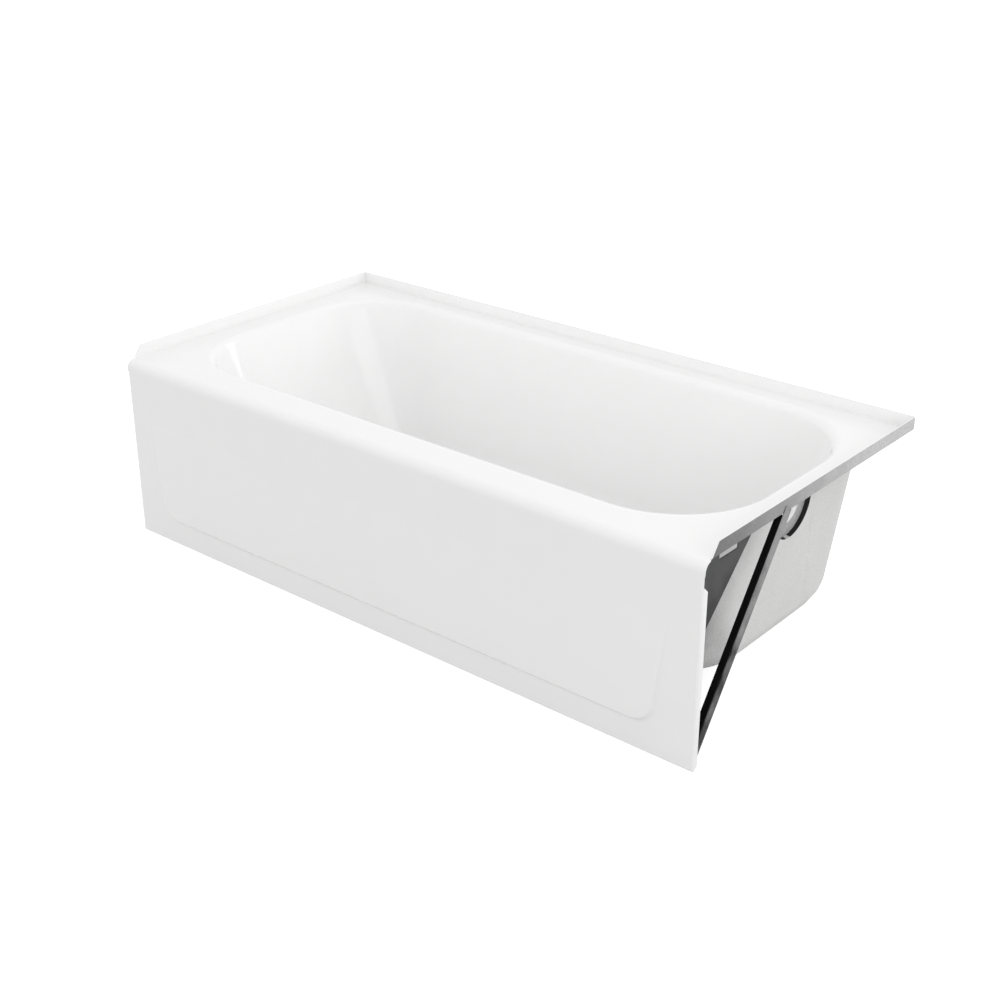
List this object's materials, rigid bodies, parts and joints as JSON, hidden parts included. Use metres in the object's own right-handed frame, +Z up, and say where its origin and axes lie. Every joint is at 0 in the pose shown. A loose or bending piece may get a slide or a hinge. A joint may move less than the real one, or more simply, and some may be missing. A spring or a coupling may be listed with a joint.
{
  "type": "alcove bathtub",
  "caption": "Right-hand enamelled steel alcove bathtub with tile flange, panelled apron, sloping backrest, insulating backing, end gussets and diagonal end braces.",
  "frame": {"origin": "on the building's floor, under the middle of the footprint", "axes": "+X along the bath towards the outlet end, +Y towards the wall behind the bath, +Z up; the apron faces -Y"},
  "size_m": [1.5284, 0.762, 0.445],
  "materials": {
    "enamel": "glossy white porcelain enamel on steel",
    "backing": "off-white moulded composite with a fine grain",
    "pad": "white rigid foam",
    "ground_coat": "dark mottled ground-coat enamel on steel, half gloss"
  },
  "bodies": {
    "root": {"basin": "enamel", "deck": "enamel", "apron": "enamel", "basin_backing": "backing", "support_pad": "pad", "right_gusset": "ground_coat", "left_gusset": "ground_coat", "right_brace": "ground_coat", "left_brace": "ground_coat"}
  },
  "joints": []
}
